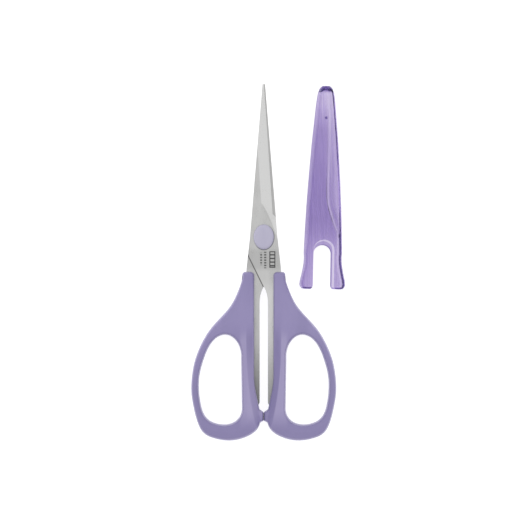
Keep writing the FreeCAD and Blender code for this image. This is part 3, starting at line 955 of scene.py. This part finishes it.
    def _section(self, station: float, floor: float, left_in: float, right_in: float,
                 roof: tuple[float, float, float, float]) -> Array:
        """One section of the outside or of the hollow.

        Args:
            station: Distance from the closed end.
            floor: Height of its underside.
            left_in: How far its left side stands inside the outer one.
            right_in: How far its right side stands inside the outer one.
            roof: How far its left roof, its ridge, the strip beside the ridge and its right roof
                lie under the outer one.

        Returns:
            Points, across and up.
        """
        half = self._at(self.widths, station)
        low = 1.0 - 0.6 * (1.0 - min(station / 5.0, 1.0)) ** 2
        h, p = self.side * low, self.peak * low
        opened = float(step(np.array(station), 50.0, 60.0))
        wl = half - left_in
        lean = min(self._at(self.lean_left, station), 0.36 * half)
        ridge = min(self._at(self.right, station), half - 2.0)
        left = max(min(self._at(self.left, station), ridge - 1.3), 0.7 + lean - half)
        edge_l, edge_r = half - lean, half - self.lean_right
        slope_r = (p - h) / max(edge_r - ridge, 0.5)
        slope_l = (p - h) / max(ridge + edge_l, 0.5)
        z_left = (p - slope_l * (ridge - left)) * (1 - opened) + p * opened
        z_near = (p - slope_l * 0.95) * (1 - opened) + p * opened
        near, middle, beyond = (min(reach, share * (edge_r - ridge)) for reach, share in
                                ((1.1, 0.38), (2.0, 0.5), (3.1, 0.74)))
        down_l, down_p, down_near, down_r = roof
        return self._loop([
            (-wl + 0.1, floor, 0.3), (half - right_in * 0.45 - 0.1, floor, 0.4),
            (half - right_in * 0.7, h * 0.6, 0.8),
            (edge_r - right_in, h - down_r, 0.7),
            (ridge + beyond, p - slope_r * beyond - down_near * 0.35 - down_r * 0.65, 0.5),
            (ridge + middle, p - slope_r * middle - down_near, 0.4),
            (ridge + near, p - slope_r * near - down_near, 0.2),
            (ridge + 0.12, p - down_p, 0.15), (ridge - 0.12, p - down_p, 0.15),
            (ridge - 0.95, z_near - down_l, 0.3), (left, z_left - down_l, 0.5),
            (-edge_l + left_in * 0.8, h - down_l, 0.9), (-wl, h * 0.22, 0.5)])

    def outside(self, station: float) -> Array:
        """The outer section at a station, across and up."""
        return self._section(station, 0.0, 0.0, 0.0, (0.0, 0.0, 0.0, 0.0))

    def inside(self, station: float) -> Array:
        """The hollow's section at a station.

        Args:
            station: Distance from the closed end.

        Returns:
            Points, across and up.
        """
        walls = (self.left_wall, self.ridge_wall, self.near_wall, self.right_wall)
        roof = tuple(self._at(wall, station) for wall in walls)
        floor = self._at(self.back_wall, station)
        ring = self._section(station, floor, self._at(self.thin_side, station),
                             self._at(self.thick_side, station), roof)
        # The hollow closes in a round end.
        open_share = min((station - self.hollow_start) / self.dome, 1.0)
        grow = max(math.sqrt(max(1.0 - (1.0 - open_share) ** 2, 0.0)), 0.06)
        middle = np.array([0.2, (floor + self.peak * 0.5) / 2])
        return middle + (ring - middle) * grow

    def placed(self, points: Array) -> Array:
        """Move points from the cover's place to the frame's.

        Args:
            points: Across, along and up in millimetres.

        Returns:
            The points in metres.
        """
        c, s = math.cos(self.tilt), math.sin(self.tilt)
        x = points[:, 0] * c - points[:, 1] * s
        y = points[:, 0] * s + points[:, 1] * c
        return np.column_stack([x, y, points[:, 2]]) * MM + np.array((*self.origin, 0.0))

    def _block(self, name: str, reach: Point, arch: float, heights: Point,
               flared: bool) -> Object:
        """A tall block with a rounded top end, to cut or line the notch.

        Args:
            name: Its name.
            reach: Reach to the left and to the right of the centre line.
            arch: Station of the arch's top.
            heights: Its bottom and top.
            flared: Whether its foot spreads and passes the mouth.

        Returns:
            The block.
        """
        reach_left, reach_right = reach
        centre, radius = (reach_right - reach_left) / 2, (reach_left + reach_right) / 2
        round_top = arc((centre, -arch - radius), radius, 0, 180, 40)
        flare = [(0.0, -0.05)]
        if flared:
            flare = [(3.0, 4.0), (1.1, 0.05), (0.6, -0.3), (0.25, -0.8), (0.05, -1.5)]
        right = [(reach_right + out, -self.length - down) for out, down in flare]
        left = [(-reach_left - out, -self.length - down) for out, down in flare[::-1]]
        outline = np.vstack([right, round_top, left])
        n = len(outline)
        points = np.vstack([np.column_stack([outline, np.full(n, z)]) for z in heights])
        faces = [list(range(n))[::-1], list(range(n, 2 * n))]
        faces += [[j, (j + 1) % n, n + (j + 1) % n, n + j] for j in range(n)]
        mesh = bpy.data.meshes.new(name)
        mesh.from_pydata([tuple(p) for p in self.placed(points)], [], faces)
        block = place_object(name, mesh)
        outward(block)
        return block

    def build(self, material: Material) -> None:
        """Build the cover as one thin-walled mesh.

        Args:
            material: Its finish.
        """
        end, lip = 6.0, self.length - 2.0
        stations = np.unique(np.round([*np.linspace(0, end, 25), *np.linspace(end, lip, 110),
                                       *np.linspace(lip, self.length, 13)], 3))
        dome = self.hollow_start + self.dome * np.linspace(0, 1, 16) ** 2
        hollow_stations = np.unique(np.round([*dome, *stations[stations > dome[-1]]], 3))
        points, faces, hubs, around = [], [], [], 0
        for section, where in ((self.outside, stations), (self.inside, hollow_stations)):
            shift = sum(len(ring) for ring in points)
            for station in where:
                ring = section(float(station))
                around = len(ring)
                points.append(np.column_stack([ring[:, 0], np.full(around, -station), ring[:, 1]]))
            faces += [[shift + i for i in face] for face in rings_to_faces(len(where), around)]
            hubs.append((shift, points[-len(where)].mean(0) + [0.0, 0.03, 0.0]))
        last_out = (len(stations) - 1) * around
        last_in = (len(stations) + len(hollow_stations) - 1) * around
        for j in range(around):
            k = (j + 1) % around
            faces.append([last_out + j, last_out + k, last_in + k, last_in + j])
            for number, (first, _) in enumerate(hubs):
                faces.append([first + j, first + k, len(points) * around + number])
        points += [[hub] for _, hub in hubs]
        piece = make_piece("blade_cover", self.placed(np.vstack(points)), faces, material, 18.0)
        blocks = [(operation, self._block(*sizes)) for operation, *sizes in self.notch]
        for operation, block in blocks:
            cut = piece.modifiers.new(block.name, "BOOLEAN")
            cut.operation, cut.solver, cut.object = operation, "EXACT", block
        graph = bpy.context.evaluated_depsgraph_get()
        finished = bpy.data.meshes.new_from_object(piece.evaluated_get(graph))
        piece.modifiers.clear()
        piece.data = finished
        for _, block in blocks:
            bpy.data.objects.remove(block)
        finished.shade_smooth()
        finished.set_sharp_from_angle(angle=math.radians(22))
        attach(piece, Body.COVER.value)
        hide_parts("sheath")

    def pin(self, name: str, spot: Point, size: Point, depth: float,
            material: Material) -> None:
        """A small solid pin in the roof, such as the mark where plastic entered the mould.

        Args:
            name: The piece's name.
            spot: Its place across and along the cover.
            size: Its half-width and half-length.
            depth: How far it reaches down.
            material: Its finish.
        """
        around = 28
        turn = np.linspace(0, 2 * math.pi, around, endpoint=False)
        top = self.peak - 0.1
        # Share of its size, and height above the top.
        profile = [(0.5, -depth), (0.8, -depth + 0.15), (1.0, -0.2), (1.0, 0.02), (0.84, 0.13),
                   (0.56, 0.16), (0.28, 0.12)]
        rings = [np.column_stack([share * size[0] * np.cos(turn) + spot[0],
                                  share * size[1] * np.sin(turn) - spot[1],
                                  np.full(around, top + up)]) for share, up in profile]
        points = np.vstack(rings + [[[spot[0], -spot[1], top + 0.1]]])
        faces = rings_to_faces(len(rings), around)
        last = (len(rings) - 1) * around
        faces += [[last + j, last + (j + 1) % around, len(points) - 1] for j in range(around)]
        faces.append(list(range(around))[::-1])
        piece = make_piece(name, self.placed(points), faces, material)
        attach(piece, Body.COVER.value)


@dataclass
class FrameMetal:
    """Blades and pivot parts whose CAD shapes stay, given their finishes."""

    pivot: Place

    def dress(self, node: str, material: Material) -> None:
        """Give a CAD node one material.

        Args:
            node: The node's name.
            material: Its finish.
        """
        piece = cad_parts[node]
        if not piece.material_slots:
            piece.data.materials.append(material)
        for slot in piece.material_slots:
            slot.material = material
        LOG.info("dressed %s", node)

    def build(self) -> None:
        """Dress every metal node and the washers."""
        front_inner, back_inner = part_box("front_blade")[0][2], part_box("back_blade")[1][2]
        front = BladeSteel("front_blade_steel", self.pivot, front_inner, front=True)
        back = BladeSteel("back_blade_steel", self.pivot, back_inner, front=False)
        self.dress("front_blade", front.material())
        self.dress("back_blade", back.material())
        turned = TurnedSteel("turned_pivot_steel", self.pivot).material()
        for node in ("pivot_screw", "pivot_nut", "spring_washer"):
            self.dress(node, turned)
        nylon = MouldedPlastic("washer_nylon", grey(0.80, -0.03), grey(0.74, -0.03),
                               roughness=0.5, coat=0.0)
        self.dress("blade_washer", nylon.material())


@dataclass
class Studio:
    """Floor, lights and camera."""

    centre: Point
    width: float = 0.23565
    height: float = 1.5
    plane: float = 0.0065
    floor_reach: float = 2.0
    floor_level: float = -0.0002
    sky_low: float = 0.585
    sky_rise: float = 0.34
    # Name, place, size, power, and whether it shows in shiny surfaces.
    lights: Sequence[tuple[str, Place, float, float, bool]] = (
        ("key", (-0.25, 1.15, 1.35), 2.0, 6.3, False),
        ("shine", (-0.25, 1.15, 1.35), 2.0, 2.2, True))

    def build(self) -> None:
        """Make the whole studio."""
        mesh = bpy.data.meshes.new("floor")
        corners = [(x * self.floor_reach, y * self.floor_reach, self.floor_level)
                   for x, y in ((-1, -1), (1, -1), (1, 1), (-1, 1))]
        mesh.from_pydata(corners, [], [(0, 1, 2, 3)])
        mesh.materials.append(PlainFloor().material())
        floor = place_object("floor", mesh)
        for name, where, size, power, shows in self.lights:
            data = bpy.data.lights.new(name, "AREA")
            data.shape, data.size, data.energy = "SQUARE", size, power
            lamp = place_object(name, data)
            lamp.location = where
            lamp.visible_glossy = shows
            aim = Vector((*self.centre, 0.0)) - Vector(where)
            lamp.rotation_euler = aim.to_track_quat("-Z", "Y").to_euler()
        world = bpy.data.worlds.new("studio")
        bpy.context.scene.world = world
        graph = Graph(world)
        up = graph.parts(graph.add("ShaderNodeTexCoord", output="Generated"))[2].most(0.0)
        sky = graph.add("ShaderNodeBackground", None,
                        {"Color": WHITE, "Strength": up * self.sky_rise + self.sky_low})
        graph.add("ShaderNodeOutputWorld", None, {"Surface": sky})
        data = bpy.data.cameras.new("camera")
        data.sensor_width = 36.0
        data.lens = 36.0 * (self.height - self.plane) / self.width
        data.clip_start, data.clip_end = 0.01, 20.0
        camera = place_object("camera", data)
        camera.location = (*self.centre, self.height)
        bpy.context.scene.camera = camera
        bpy.context.scene.view_settings.view_transform = "Standard"


def pivot_place() -> Place:
    """Find where the pivot axis crosses the middle plane.

    Returns:
        The place, in metres.
    """
    low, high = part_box("pivot_screw")
    low_body, high_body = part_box("front_handle")
    return ((low[0] + high[0]) / 2, (low[1] + high[1]) / 2, (low_body[2] + high_body[2]) / 2)


def main() -> None:
    """Build every piece in order."""
    logging.basicConfig(level=logging.INFO, format="%(name)s: %(message)s")
    pivot = pivot_place()
    Studio(centre=(-0.0022, -0.0003)).build()
    plastic = MouldedPlastic("lavender_plastic", (0.295, 0.255, 0.480, 1.0),
                             (0.272, 0.235, 0.450, 1.0), bead_at=pivot).material()
    for handle in (Handle("front_loop", "front_handle", Body.FRONT, pivot, False),
                   Handle("back_loop", "back_handle", Body.BACK, pivot, True)):
        handle.build(plastic)
    cap = MouldedPlastic("pale_cap_plastic", (0.50, 0.48, 0.62, 1.0), (0.47, 0.45, 0.59, 1.0),
                         roughness=0.32, coat=0.3).material()
    for name, node, over, base in (("front_pivot_cap", "front_cap", False, 1.35),
                                   ("rear_pivot_cap", "rear_cap", True, 1.5)):
        PivotCap(name, node, pivot, over, base).build(cap)
    FrameMetal(pivot).build()
    nose = (pivot[0] + COVER_ACROSS * MM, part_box("sheath")[1][1])
    cover = BladeCover(nose, -COVER_LEAN)
    skin = ClearCover("clear_cover_plastic", nose, COVER_LEAN).material()
    cover.build(skin)
    cover.pin("cover_gate_mark", (0.25, 14.4), (0.62, 0.62), 1.7, skin)
    cover.pin("cover_ridge_stop", (7.2, 67.4), (0.36, 1.0), 1.6, skin)


if __name__ == "__main__":
    main()
